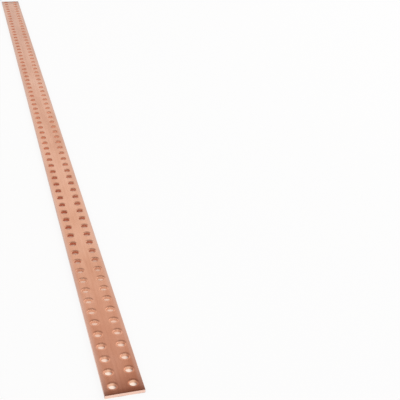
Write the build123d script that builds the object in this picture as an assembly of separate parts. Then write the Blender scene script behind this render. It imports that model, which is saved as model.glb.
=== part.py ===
"""Copper busbar: a flat bar of hard-drawn copper with two rows of punched holes.

The bar is one piece of stock. It lies flat, with its length along X, its width along Y and its
thickness along Z. The origin is the middle of the underside. The near end is the one at low X:
the holes are set out from it. All sizes are in millimetres.
"""
from build123d import *
import math
import os

# The drawn bar
bar_length = 1750.0
bar_width = 50.0
bar_thickness = 5.0
long_edge_radius = 0.6       # the four long edges, rounded by the drawing die
end_edge_break = 0.4         # the edges round the two sawn ends, dressed with a file

# The punched holes
hole_diameter = 10.0         # the wide clearance for an M8 bolt
hole_pitch = 25.0            # from one pair of holes to the next, along the bar
row_edge_distance = 12.0     # from a long edge of the bar to the centres of the row beside it
first_pair_distance = 15.0   # from the near end to the centres of the first pair
least_far_distance = 8.0     # the last pair's centres come no nearer than this to the far end


def drawn_bar():
    """The bar before punching: its rounded section drawn out to length, with dressed ends."""
    section = Plane.YZ * RectangleRounded(bar_width, bar_thickness, long_edge_radius)
    bar = Pos(0, 0, bar_thickness / 2) * extrude(section, bar_length / 2, both=True)
    near_end = bar.faces().sort_by(Axis.X).first
    far_end = bar.faces().sort_by(Axis.X).last
    return chamfer(near_end.edges() + far_end.edges(), end_edge_break)


def hole_places():
    """Both rows of hole centres: as many pairs as the length has room for, from the near end on."""
    room_for_steps = bar_length - first_pair_distance - least_far_distance
    step_count = math.floor(room_for_steps / hole_pitch)
    near_end_x = -bar_length / 2
    middle_of_rows_x = near_end_x + first_pair_distance + step_count * hole_pitch / 2
    row_spacing = bar_width - 2 * row_edge_distance
    return Pos(middle_of_rows_x, 0), GridLocations(hole_pitch, row_spacing, step_count + 1, 2)


def punched_busbar():
    """The drawn bar with a round hole punched through it at every place."""
    punch = Cylinder(hole_diameter / 2, 3 * bar_thickness)
    middle_of_rows, places = hole_places()
    return drawn_bar() - [middle_of_rows * place * punch for place in places]


busbar = punched_busbar()
busbar.label = "busbar"

os.makedirs("parts", exist_ok=True)
export_step(busbar, "parts/busbar.step")
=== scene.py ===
"""Looks of the copper busbar: its fine mesh with rolled-over hole rims, drawn copper, studio and camera."""

import math

import bpy
from mathutils import Matrix, Vector


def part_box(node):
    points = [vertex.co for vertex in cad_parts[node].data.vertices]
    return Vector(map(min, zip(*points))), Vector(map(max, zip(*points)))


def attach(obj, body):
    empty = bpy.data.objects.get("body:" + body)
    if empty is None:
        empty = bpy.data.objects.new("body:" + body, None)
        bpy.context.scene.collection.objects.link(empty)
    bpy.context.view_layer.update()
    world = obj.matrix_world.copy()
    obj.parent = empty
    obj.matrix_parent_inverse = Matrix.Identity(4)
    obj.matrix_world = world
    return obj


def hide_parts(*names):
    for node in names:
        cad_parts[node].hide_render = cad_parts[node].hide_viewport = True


MM = 0.001

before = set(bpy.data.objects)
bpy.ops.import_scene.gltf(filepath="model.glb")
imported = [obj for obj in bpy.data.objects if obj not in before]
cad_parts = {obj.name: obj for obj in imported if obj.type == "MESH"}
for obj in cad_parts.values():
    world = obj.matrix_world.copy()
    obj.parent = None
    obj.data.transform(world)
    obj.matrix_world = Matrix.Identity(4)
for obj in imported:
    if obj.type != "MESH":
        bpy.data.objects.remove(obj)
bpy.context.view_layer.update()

# The bar, from the frame
BAR_LOW, BAR_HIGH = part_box("busbar")
NEAR_END = BAR_LOW.x
FAR_END = BAR_HIGH.x
HALF_WIDTH = BAR_HIGH.y
TOP = BAR_HIGH.z

# The bar's edges and holes, as in the part's source
LONG_EDGE_RADIUS = 0.6 * MM
END_EDGE_BREAK = 0.4 * MM
HOLE_RADIUS = 5.0 * MM
HOLE_PITCH = 25.0 * MM
ROW_Y = 13.0 * MM
FIRST_PAIR_X = NEAR_END + 15.0 * MM
PAIRS = 70

# Fine relief left by the punch: the rim rolls over on top, and the hole opens out below, where it broke
ROLL_OVER_WIDTH = 3.0 * MM
ROLL_OVER_DEPTH = 0.8 * MM
BREAK_START = 1.7 * MM      # how far above the underside the break begins
BREAK_WIDENING = 0.14 * MM
BURR_LAND = 0.12 * MM       # the small land round the hole on the underside

# Fine relief at the sawn ends: the top edge is dressed down over a longer run
END_ROLL_WIDTH = 2.4 * MM
END_ROLL_DEPTH = 0.55 * MM

# How fine the mesh is
PLACES_PER_METRE = 1e7      # points nearer to each other than this grid are one point
SIDE_STEPS = 12             # along each side of a hole's rectangle of surface
ROLL_OVER_STEPS = 6         # down a hole's rim
EDGE_STEPS = 4              # round a long edge
END_STEPS = 8               # round an end's edge

# Stretches along the bar in which its looks change, each from one place to another
HOLE_GLOW_AT = (-850.0 * MM, -500.0 * MM)       # the painted light on the floor seen through the holes gets darker
GLOW_AGAIN_AT = (-420.0 * MM, -150.0 * MM)      # and light again
PAINTED_LIT_WALLS_AT = (-625.0 * MM, -545.0 * MM)    # the holes' walls turn from painted bright light to dull
PALER_WALLS_AT = (-450.0 * MM, 0.0 * MM)        # and a little paler
SHADED_HOLES_AT = (-800.0 * MM, -720.0 * MM)    # the painted shade in the holes ends
RICH_TONE_AT = (-780.0 * MM, -560.0 * MM)       # the near end's rich tone ends
GREY_EDGE_REFLECTION_AT = (-740.0 * MM, -650.0 * MM)     # the long edges' painted highlights turn to a grey painted reflection

# Bands near the bar's sides, measured from its axis, and near its ends, measured from its middle
# The bands at the sides hold painted highlights on the long edges
EDGE_HIGHLIGHT_BANDS = (HALF_WIDTH - 4.0 * MM, HALF_WIDTH + 3.0 * MM)
DARKER_END_STRETCHES = (FAR_END - 44.0 * MM, FAR_END + 10.0 * MM)
DARK_END_BANDS = (FAR_END - 9.0 * MM, FAR_END - 4.0 * MM)

# Across a hole from its middle, to the left: where the painted shade of its right side begins and ends
SHADED_SIDE = (-5.0 * MM, -0.6 * MM)

# The mesh's materials, in their order on the piece
SKIN, PUNCHED, CUT = range(3)

WHITE = (1.0, 1.0, 1.0)


class MeshBuild:
    """Vertices with their exact normals, shared where places match, and faces with their material."""

    def __init__(self):
        self.points, self.normals, self.faces, self.kinds = [], [], [], []
        self.known = {}

    def add(self, place, normal):
        """The number of the vertex at this place, which is made if it isn't there yet."""
        key = tuple(round(c * PLACES_PER_METRE) for c in place)
        if key not in self.known:
            self.known[key] = len(self.points)
            self.points.append(tuple(place))
            self.normals.append(Vector(normal).normalized())
        return self.known[key]

    def face(self, corners, kind):
        self.faces.append(tuple(corners))
        self.kinds.append(kind)

    def ring_band(self, outer, inner, kind):
        """Quads between two rings. Seen from outside, inner is on the left as one goes round outer."""
        n = len(outer)
        for i in range(n):
            j = (i + 1) % n
            self.face((outer[i], outer[j], inner[j], inner[i]), kind)

    def strip(self, first, second, kind):
        """Quads between two open rows of points."""
        for i in range(len(first) - 1):
            self.face((first[i], first[i + 1], second[i + 1], second[i]), kind)


def spread(start, end, steps):
    """Evenly spaced values from start to end, both included."""
    return [start + (end - start) * i / steps for i in range(steps + 1)]


def rectangle_ring(x0, x1, y0, y1):
    """Points round a rectangle, anticlockwise seen from above, from its low corner."""
    xs, ys = spread(x0, x1, SIDE_STEPS), spread(y0, y1, SIDE_STEPS)
    return (
        [(x, y0) for x in xs[:-1]]
        + [(x1, y) for y in ys[:-1]]
        + [(x, y1) for x in xs[:0:-1]]
        + [(x0, y) for y in ys[:0:-1]]
    )


def hole_profile():
    """(radius, height, inward lean of the normal, upward lean), from the top face to the underside."""
    rows = []
    for i in range(ROLL_OVER_STEPS + 1):
        a = i / ROLL_OVER_STEPS * math.pi / 2
        rows.append((
            HOLE_RADIUS + ROLL_OVER_WIDTH * (1 - math.sin(a)),
            TOP - ROLL_OVER_DEPTH * (1 - math.cos(a)),
            math.sin(a) / ROLL_OVER_WIDTH,
            math.cos(a) / ROLL_OVER_DEPTH,
        ))
    lean = BREAK_WIDENING / BREAK_START
    rows.append((HOLE_RADIUS, BREAK_START, 1, -lean / 2))
    rows.append((HOLE_RADIUS + BREAK_WIDENING, BURR_LAND, 1, -lean))
    rows.append((HOLE_RADIUS + BREAK_WIDENING + BURR_LAND, 0.0, 0, -1))
    return rows


def add_hole_cell(m, x0, x1, hole_x, side, flat_half):
    """One hole with the rectangles of the top face and the underside round it."""
    y0, y1 = sorted((0.0, side * flat_half))
    hole_y = side * ROW_Y
    border = rectangle_ring(x0, x1, y0, y1)
    turns = [math.atan2(y - hole_y, x - hole_x) for x, y in border]
    rings = [[m.add((x, y, TOP), (0, 0, 1)) for x, y in border]]
    for radius, height, inward, up in hole_profile():
        rings.append([
            m.add(
                (hole_x + radius * math.cos(a), hole_y + radius * math.sin(a), height),
                (-inward * math.cos(a), -inward * math.sin(a), up),
            )
            for a in turns
        ])
    rings.append([m.add((x, y, 0.0), (0, 0, -1)) for x, y in border])
    for i in range(len(rings) - 1):
        on_wall = ROLL_OVER_STEPS <= i < len(rings) - 2
        m.ring_band(rings[i], rings[i + 1], PUNCHED if on_wall else SKIN)


def long_edge(centre_y, centre_z, turn):
    """(y, z, normal y, normal z) on a rounded long edge: a quarter turn from this one, without its ends."""
    places = []
    for i in range(1, EDGE_STEPS):
        a = turn + i / EDGE_STEPS * math.pi / 2
        y, z = math.cos(a), math.sin(a)
        places.append((centre_y + LONG_EDGE_RADIUS * y, centre_z + LONG_EDGE_RADIUS * z, y, z))
    return places


def section_sides(flat_half):
    """The left and the right side of the bar's section, as (y, z, normal y, normal z).

    Both go clockwise, seen from the far end.
    """
    low, high = LONG_EDGE_RADIUS, TOP - LONG_EDGE_RADIUS
    left = (
        [(flat_half, TOP, 0, 1)]
        + long_edge(flat_half, high, 0)[::-1]
        + [(HALF_WIDTH, high, 1, 0), (HALF_WIDTH, low, 1, 0)]
        + long_edge(flat_half, low, -math.pi / 2)[::-1]
        + [(flat_half, 0.0, 0, -1)]
    )
    right = (
        [(-flat_half, 0.0, 0, -1)]
        + long_edge(-flat_half, low, math.pi)[::-1]
        + [(-HALF_WIDTH, low, -1, 0), (-HALF_WIDTH, high, -1, 0)]
        + long_edge(-flat_half, high, math.pi / 2)[::-1]
        + [(-flat_half, TOP, 0, 1)]
    )
    return left, right


def add_end(m, outline, end_x, out):
    """An end of the bar: its dressed-down top edge, the smaller edge round the rest, and the cut face."""
    rings = []
    for i in range(END_STEPS + 1):
        a = i / END_STEPS * math.pi / 2
        to_end = END_ROLL_WIDTH * (1 - math.sin(a))
        drop = END_ROLL_DEPTH * (1 - math.cos(a))
        roll = math.atan2(math.sin(a) / END_ROLL_WIDTH, math.cos(a) / END_ROLL_DEPTH)
        turn = math.asin(max(0.0, 1 - to_end / END_EDGE_BREAK))
        inset = END_EDGE_BREAK * (1 - math.cos(turn))
        ring = []
        for y, z, ny, nz in outline:
            lean, fall = (roll, drop) if nz > 0 else (turn, inset)
            outward = out * (math.sin(lean) * abs(nz) + math.sin(turn) * abs(ny))
            ring.append(m.add(
                (end_x - out * to_end, y - inset * ny, z - fall * nz),
                (outward, ny * math.cos(turn), nz * math.cos(lean)),
            ))
        rings.append(ring)
    for i in range(END_STEPS):
        outer, inner = (rings[i + 1], rings[i]) if out > 0 else (rings[i], rings[i + 1])
        m.ring_band(outer, inner, SKIN if i < END_STEPS - 1 else CUT)
    m.face(rings[-1][::-1] if out > 0 else rings[-1], CUT)


def build_bar():
    """The whole bar as one closed mesh."""
    m = MeshBuild()
    flat_half = HALF_WIDTH - LONG_EDGE_RADIUS
    all_x = []
    for k in range(PAIRS):
        hole_x = FIRST_PAIR_X + k * HOLE_PITCH
        x0 = NEAR_END + END_ROLL_WIDTH if k == 0 else hole_x - HOLE_PITCH / 2
        x1 = FAR_END - END_ROLL_WIDTH if k == PAIRS - 1 else hole_x + HOLE_PITCH / 2
        all_x += spread(x0, x1, SIDE_STEPS)[:-1]
        for side in (1, -1):
            add_hole_cell(m, x0, x1, hole_x, side, flat_half)
    all_x.append(x1)

    left, right = section_sides(flat_half)
    for side in (left, right):
        rows = [[m.add((x, y, z), (0, ny, nz)) for x in all_x] for y, z, ny, nz in side]
        for i in range(len(rows) - 1):
            m.strip(rows[i], rows[i + 1], SKIN)

    # The section's outline has the cells' points on its flats
    ys = spread(-flat_half, 0.0, SIDE_STEPS)[:-1] + spread(0.0, flat_half, SIDE_STEPS)
    underside = [(y, 0.0, 0, -1) for y in ys[::-1]]
    top_face = [(y, TOP, 0, 1) for y in ys]
    outline = left[:-1] + underside[:-1] + right[:-1] + top_face[:-1]
    add_end(m, outline, NEAR_END, -1)
    add_end(m, outline, FAR_END, 1)
    return m


def make_piece(m, name):
    """The mesh as an object in the scene."""
    mesh = bpy.data.meshes.new(name)
    mesh.from_pydata(m.points, [], m.faces)
    mesh.polygons.foreach_set("material_index", m.kinds)
    mesh.polygons.foreach_set("use_smooth", [True] * len(m.faces))
    mesh.normals_split_custom_set_from_vertices(m.normals)
    mesh.update()
    piece = bpy.data.objects.new(name, mesh)
    bpy.context.scene.collection.objects.link(piece)
    return piece


class Shading:
    """The nodes of a material or a world, added and joined in one line each."""

    def __init__(self, owner, output_kind="ShaderNodeOutputMaterial"):
        owner.use_nodes = True
        self.owner = owner
        self.tree = owner.node_tree
        self.tree.nodes.clear()
        self.output = self.node(output_kind)

    def node(self, kind, inputs=None, **settings):
        """A node with its settings. Its inputs are other nodes' sockets, numbers, vectors or colours."""
        made = self.tree.nodes.new(kind)
        for key, value in settings.items():
            setattr(made, key, value)
        for key, value in (inputs or {}).items():
            socket = made.inputs[key]
            if isinstance(value, bpy.types.NodeSocket):
                self.tree.links.new(value, socket)
            else:
                socket.default_value = (*value, 1.0) if socket.type == "RGBA" else value
        return made

    def show(self, shader):
        """Joins the shader to the output, and gives the material or world that it finishes."""
        self.tree.links.new(shader.outputs[0], self.output.inputs["Surface"])
        return self.owner

    def coordinates(self, kind="Object"):
        return self.node("ShaderNodeTexCoord").outputs[kind]

    def place(self, kind="Object"):
        """X, Y and Z of the point that is shaded, or in a world of the direction that is looked in."""
        return self.node("ShaderNodeSeparateXYZ", {"Vector": self.coordinates(kind)}).outputs

    def noise(self, scale, detail=3.0, rough=0.5):
        """Noise from 0 to 1; scale is how many waves it has to a metre in X, Y and Z."""
        stretched = self.node("ShaderNodeMapping", {"Vector": self.coordinates(), "Scale": scale})
        made = self.node("ShaderNodeTexNoise", {
            "Vector": stretched.outputs["Vector"], "Scale": 1.0, "Detail": detail, "Roughness": rough,
        })
        return made.outputs["Fac"]

    def ramp(self, value, stops):
        """A colour or a grey for each value, from stops of (value, colour or grey)."""
        made = self.node("ShaderNodeValToRGB", {"Fac": value})
        elements = made.color_ramp.elements
        while len(elements) < len(stops):
            elements.new(1.0)
        for element, (at, colour) in zip(elements, stops):
            red_green_blue = colour if isinstance(colour, tuple) else (colour, colour, colour)
            element.position = at
            element.color = (*red_green_blue, 1.0)
        return made.outputs["Color"]

    def mix(self, share, a, b, blend="MIX"):
        """Colour a, with this share of it replaced by b."""
        made = self.node("ShaderNodeMix", {0: share, 6: a, 7: b}, data_type="RGBA", blend_type=blend)
        return made.outputs[2]

    def multiply(self, colour, by, share=1.0):
        """The colour times another, to this share."""
        return self.mix(share, colour, by, "MULTIPLY")

    def span(self, value, start, end, low=0.0, high=1.0, kind="LINEAR"):
        """What goes from low to high while the value goes from start to end."""
        made = self.node("ShaderNodeMapRange", {
            "Value": value, "From Min": start, "From Max": end, "To Min": low, "To Max": high,
        }, interpolation_type=kind)
        return made.outputs["Result"]

    def ease(self, value, start, end, low=0.0, high=1.0):
        """As span, with a soft start and end."""
        return self.span(value, start, end, low, high, "SMOOTHSTEP")

    def along(self, stretch, low=0.0, high=1.0):
        """What goes from low to high over a stretch of the bar."""
        return self.span(self.place()["X"], *stretch, low, high)

    def lit_side(self, light_left):
        """Painted shade: 1 on the left side of a hole, as if lit by the lamp on the right, and the light left
        on its right.

        Only the first pairs' holes have that painted shade.
        """
        across = self.place()["Y"]
        from_hole = self.math("MULTIPLY_ADD", self.math("SIGN", across), -ROW_Y, across)
        return self.ease(from_hole, *SHADED_SIDE, self.along(SHADED_HOLES_AT, light_left, 1.0))

    def math(self, operation, *values):
        return self.node("ShaderNodeMath", dict(enumerate(values)), operation=operation).outputs[0]

    def metal(self, colour, roughness, relief, relief_strength, relief_depth):
        """Finishes the material as bare metal of this colour, with a fine relief in its surface."""
        bump = self.node("ShaderNodeBump", {
            "Height": relief, "Strength": relief_strength, "Distance": relief_depth,
        })
        return self.show(self.node("ShaderNodeBsdfPrincipled", {
            "Base Color": colour, "Metallic": 1.0, "Roughness": roughness, "Normal": bump.outputs["Normal"],
        }))


def copper_skin():
    """Drawn copper with fine lines and faint streaks along it and cloudy tarnish.

    It is richer at the near end, has painted highlights on the long edges and is darker towards the ends.
    """
    s = Shading(bpy.data.materials.new("drawn_copper"))
    fine_lines = s.noise((14.0, 2600.0, 2600.0), detail=2.0)
    streaks = s.noise((2.2, 210.0, 210.0), detail=4.0, rough=0.6)
    clouds = s.noise((9.0, 42.0, 42.0), detail=4.0, rough=0.6)

    # Tarnish, streaks and lines
    tarnish = [(0.32, (0.60, 0.29, 0.18)), (0.52, (0.67, 0.35, 0.23)), (0.70, (0.71, 0.40, 0.28))]
    richer = (1.0, 0.88, 0.84)
    streak_stops = [(0.36, (0.72, 0.60, 0.54)), (0.56, 1.0)]
    line_stops = [(0.30, 0.75), (0.62, 1.0)]
    streak_share = line_share = 0.25
    tone = s.multiply(s.ramp(clouds, tarnish), richer, s.along(RICH_TONE_AT, 1.0, 0.0))
    tone = s.multiply(tone, s.ramp(streaks, streak_stops), streak_share)
    tone = s.multiply(tone, s.ramp(fine_lines, line_stops), line_share)

    # Painted highlights on the long edges, pale at the near end and a grey painted reflection beyond, whose
    # border follows the streaks
    highlight_border_wander = 6.0 * MM
    strongest_highlight = 0.45
    pale_edge_highlight, grey_edge_reflection = (0.72, 0.50, 0.42), (0.56, 0.41, 0.36)
    place = s.place()
    from_axis = s.math("ABSOLUTE", place["Y"])
    highlight_place = s.math("MULTIPLY_ADD", streaks, highlight_border_wander, from_axis)
    edge_highlights = s.mix(s.along(GREY_EDGE_REFLECTION_AT), pale_edge_highlight, grey_edge_reflection)
    tone = s.mix(s.ease(highlight_place, *EDGE_HIGHLIGHT_BANDS, high=strongest_highlight), tone, edge_highlights)

    # Darker towards the ends, with a border that slants across the bar and follows the clouds
    border_slant = -0.25
    border_wander = 20.0 * MM
    end_darkening, darkened = (0.54, 0.44, 0.42), (0.80, 0.74, 0.71)
    from_middle = s.math("ABSOLUTE", place["X"])
    slanted = s.math("MULTIPLY_ADD", place["Y"], border_slant, from_middle)
    uneven = s.math("MULTIPLY_ADD", clouds, border_wander, s.math("SUBTRACT", slanted, border_wander / 2))
    tone = s.multiply(tone, end_darkening, s.ease(uneven, *DARKER_END_STRETCHES))
    tone = s.multiply(tone, darkened, s.ease(from_middle, *DARK_END_BANDS))

    roughness = s.span(streaks, 0.0, 1.0, 0.18, 0.30)
    return s.metal(tone, roughness, fine_lines, relief_strength=0.25, relief_depth=0.03 * MM)


def copper_punched():
    """The wall of a punched hole, with fine lines down it.

    Painted light makes it bright near the near end, with painted shade on the right sides of the first pairs'
    holes.
    Beyond it is dull, and a little paler in the far half and in the right row.
    """
    s = Shading(bpy.data.materials.new("punched_copper"))
    scores = s.noise((1500.0, 1500.0, 120.0))
    # Painted light: the walls of the near pairs' holes brightly lit
    painted_lit_wall = s.ramp(scores, [(0.3, (0.84, 0.57, 0.43)), (0.7, (0.96, 0.73, 0.60))])
    dull = s.ramp(scores, [(0.3, (0.66, 0.28, 0.18)), (0.7, (0.80, 0.37, 0.25))])
    paler = s.ramp(scores, [(0.3, (0.82, 0.54, 0.42)), (0.7, (0.94, 0.66, 0.54))])
    in_shade = (0.55, 0.31, 0.22)
    paler_far, paler_right = 0.5, 0.3
    right_row = s.math("LESS_THAN", s.place()["Y"], 0.0)
    paler_share = s.math("MULTIPLY_ADD", right_row, paler_right, s.along(PALER_WALLS_AT, 0.0, paler_far))
    # The painted light on the near pairs' walls, with painted shade on their right sides
    near_tone = s.mix(s.lit_side(0.0), in_shade, painted_lit_wall)
    tone = s.mix(s.along(PAINTED_LIT_WALLS_AT), near_tone, s.mix(paler_share, dull, paler))
    roughness = s.span(scores, 0.0, 1.0, 0.35, 0.5)
    return s.metal(tone, roughness, scores, relief_strength=0.3, relief_depth=0.04 * MM)


def copper_cut():
    """A cut end: bright fresh copper with fine saw lines across its thickness."""
    s = Shading(bpy.data.materials.new("cut_copper"))
    saw_lines = s.noise((400.0, 900.0, 160.0))
    tone = s.ramp(saw_lines, [(0.3, (0.93, 0.62, 0.50)), (0.7, (0.99, 0.71, 0.60))])
    roughness = s.span(saw_lines, 0.0, 1.0, 0.42, 0.56)
    return s.metal(tone, roughness, saw_lines, relief_strength=0.3, relief_depth=0.05 * MM)


def floor_white():
    """The floor's white: it glows where it is seen, and less under the bar, where the glow is painted light
    and shade seen through the holes.

    The rest of it is a plain white that keeps the bar's shadow.
    """
    s = Shading(bpy.data.materials.new("floor_white"))
    place = s.place()
    beside = s.math("GREATER_THAN", s.math("ABSOLUTE", place["Y"]), HALF_WIDTH)
    beyond = s.math("GREATER_THAN", s.math("ABSOLUTE", place["X"]), FAR_END)
    open_floor = s.math("MAXIMUM", beside, beyond)

    # Painted light and shade seen through the holes: white at the near end, warmer and darker beyond, and
    # then light again, with painted shade on the right of the first pairs' holes
    open_glow, glow_again, glow_in_shade = 0.85, 0.7, 0.15
    painted_warm_glow = [(0.0, (1.0, 0.82, 0.70)), (0.3, (1.0, 0.64, 0.49)), (1.0, (1.0, 0.72, 0.56))]
    dimming = [(0.0, 1.0), (0.14, 0.85), (0.3, 0.65), (0.6, 0.5), (0.8, 0.25), (1.0, 0.2)]
    in_holes = s.along(HOLE_GLOW_AT)
    near_glow = s.math("MULTIPLY", s.ramp(in_holes, dimming), s.lit_side(glow_in_shade))
    under_glow = s.math("MAXIMUM", near_glow, s.along(GLOW_AGAIN_AT, 0.0, glow_again))
    under_share = s.math("SUBTRACT", under_glow, open_floor)
    share = s.math("MAXIMUM", s.math("MULTIPLY", open_floor, open_glow), under_share)
    glow_tone = s.mix(open_floor, s.ramp(in_holes, painted_warm_glow), WHITE)

    # Painted copper-coloured bounce light on the plain part under the bar
    plain_white = (0.92, 0.92, 0.92)
    painted_bounce_tint = s.mix(in_holes, (0.92, 0.84, 0.78), (0.80, 0.56, 0.45))
    plain = s.node("ShaderNodeBsdfDiffuse", {"Color": s.mix(open_floor, painted_bounce_tint, plain_white)})

    path = s.node("ShaderNodeLightPath").outputs
    straight = s.math("MAXIMUM", path["Is Camera Ray"], path["Is Transmission Ray"])
    seen = s.math("MAXIMUM", straight, path["Is Glossy Ray"])
    glow = s.node("ShaderNodeEmission", {"Color": glow_tone, "Strength": 1.0})
    return s.show(s.node("ShaderNodeMixShader", {
        0: s.math("MULTIPLY", seen, share), 1: plain.outputs[0], 2: glow.outputs[0],
    }))


def studio_floor():
    """A wide level floor, a hair below the bar."""
    half_side = 6.0
    below_bar = 0.02 * MM
    corners = [(x * half_side, y * half_side, 0) for x, y in ((-1, -1), (1, -1), (1, 1), (-1, 1))]
    mesh = bpy.data.meshes.new("floor")
    mesh.from_pydata(corners, [], [(0, 1, 2, 3)])
    floor = bpy.data.objects.new("floor", mesh)
    floor.location.z = -below_bar
    floor.data.materials.append(floor_white())
    bpy.context.scene.collection.objects.link(floor)


def studio_light():
    """Soft light from all round, less from above, and one wide lamp from the right."""
    # The light from each height: the sine of the elevation it comes from, and its colour
    light_at_heights = [
        (0.0, (0.97, 0.97, 0.97)), (0.30, (0.93, 0.90, 0.87)), (0.44, (1.18, 1.18, 1.16)),
        (0.53, (1.41, 1.46, 1.48)), (0.58, (1.20, 1.20, 1.19)), (0.64, (0.82, 0.78, 0.77)),
        (0.70, (0.72, 0.68, 0.68)), (0.79, (0.53, 0.50, 0.50)), (0.90, (0.52, 0.50, 0.50)),
        (1.0, (0.76, 0.75, 0.75)),
    ]
    s = Shading(bpy.data.worlds.new("studio"), "ShaderNodeOutputWorld")
    soft_light = s.ramp(s.place("Generated")["Z"], light_at_heights)
    backdrop = s.node("ShaderNodeBackground", {"Color": soft_light, "Strength": 1.0})
    bpy.context.scene.world = s.show(backdrop)

    data = bpy.data.lights.new("softbox", "AREA")
    data.shape = "RECTANGLE"
    data.size, data.size_y = 3.0, 1.6
    data.energy = 12.0
    lamp = bpy.data.objects.new("softbox", data)
    lamp.location = (0.0, -1.8, 1.6)
    towards_bar = -lamp.location
    lamp.rotation_euler = towards_bar.to_track_quat("-Z", "Y").to_euler()
    bpy.context.scene.collection.objects.link(lamp)


def photo_camera():
    """The photograph's view: in front of the near end, a little to its left, looking down along the bar."""
    place = Vector((-1.552, 0.1459, 0.6634))
    azimuth, downward, roll = math.radians(-18.37), math.radians(29.30), math.radians(3.68)
    level = math.cos(downward)
    look = Vector((math.cos(azimuth) * level, math.sin(azimuth) * level, -math.sin(downward)))
    level_right = look.cross(Vector((0, 0, 1))).normalized()
    level_up = level_right.cross(look)
    right = level_right * math.cos(roll) + level_up * math.sin(roll)
    up = level_up * math.cos(roll) - level_right * math.sin(roll)
    data = bpy.data.cameras.new("photo_camera")
    data.sensor_width = 36.0
    data.lens = 68.967
    data.clip_start, data.clip_end = 0.05, 50.0
    camera = bpy.data.objects.new("photo_camera", data)
    camera.matrix_world = Matrix.Translation(place) @ Matrix((right, up, -look)).transposed().to_4x4()
    bpy.context.scene.collection.objects.link(camera)
    bpy.context.scene.camera = camera


busbar = make_piece(build_bar(), "busbar_bar")
for finish in (copper_skin(), copper_punched(), copper_cut()):
    busbar.data.materials.append(finish)
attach(busbar, "root")
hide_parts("busbar")

studio_floor()
studio_light()
photo_camera()
bpy.context.scene.view_settings.view_transform = "Standard"
